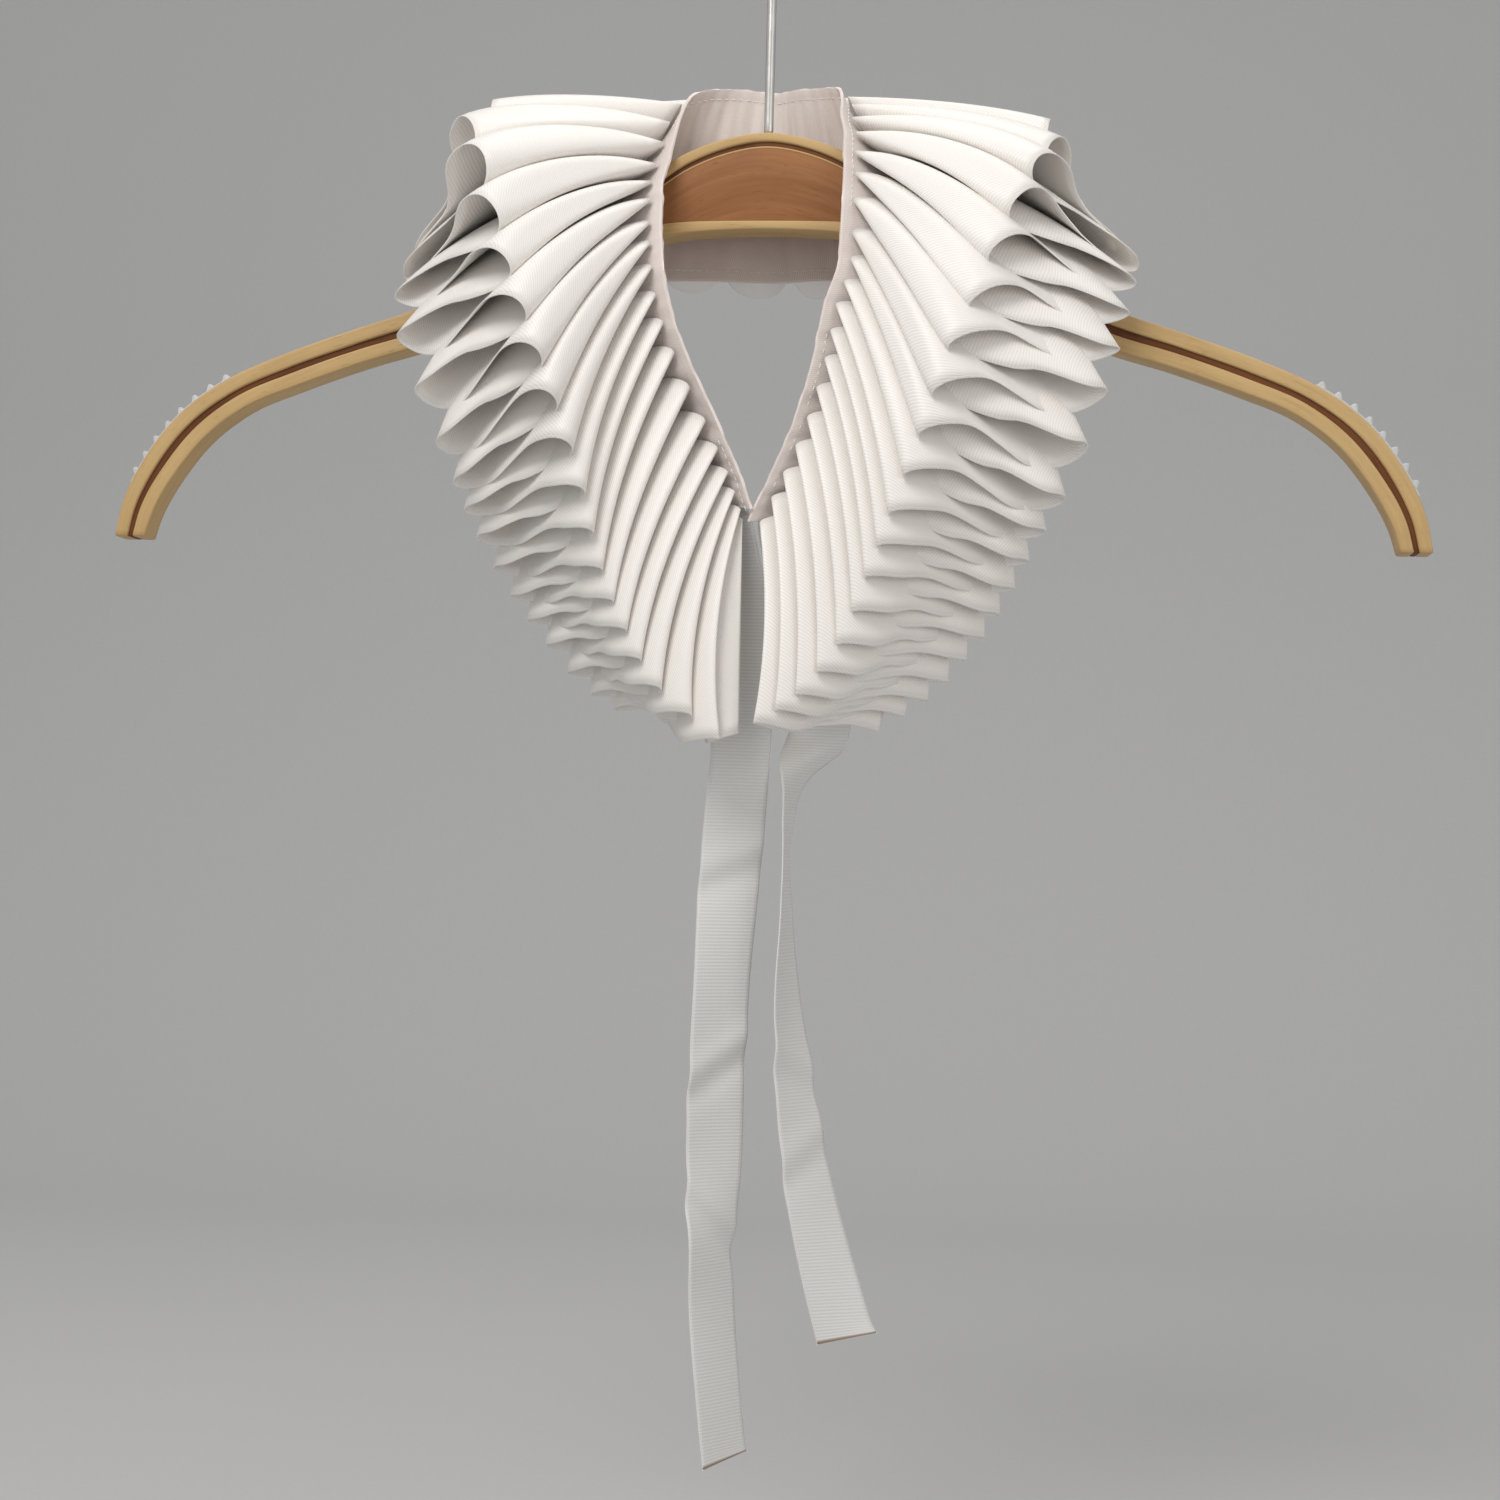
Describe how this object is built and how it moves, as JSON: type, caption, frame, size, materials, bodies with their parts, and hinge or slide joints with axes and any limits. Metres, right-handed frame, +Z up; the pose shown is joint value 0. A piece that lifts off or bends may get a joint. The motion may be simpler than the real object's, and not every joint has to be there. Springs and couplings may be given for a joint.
{
  "type": "ruffled collar on hanger",
  "caption": "Pleated ribbon ruffle on a flat satin neckband with ribbon ties at its front ends, draped over a curved wooden hanger with a wire hook.",
  "frame": {"origin": "inside top of the hanger's hook, where a rail carries it", "axes": "+Z up, +X towards the viewer's right in the picture, +Y away from the viewer"},
  "size_m": [0.44, 0.1672, 0.5391],
  "materials": {
    "neckband_satin": "greyish pink satin, soft sheen",
    "ruffle_taffeta": "warm white crisp taffeta ribbon",
    "tie_ribbon": "white woven satin ribbon, fine cross ribs",
    "light_birch": "clear lacquered, satin",
    "brown_ply": "stained, satin",
    "brushed_nickel": "brushed nickel plated wire",
    "clear_plastic": "clear flexible plastic"
  },
  "bodies": {
    "root": {"neckband": "neckband_satin", "ruffle_left": "ruffle_taffeta", "ruffle_back": "ruffle_taffeta", "ruffle_right": "ruffle_taffeta", "tie_left": "tie_ribbon", "tie_right": "tie_ribbon", "bow_upper": "light_birch", "bow_lower": "light_birch", "bow_core": "brown_ply", "hook": "brushed_nickel", "grip_left": "clear_plastic", "grip_right": "clear_plastic"}
  },
  "joints": []
}
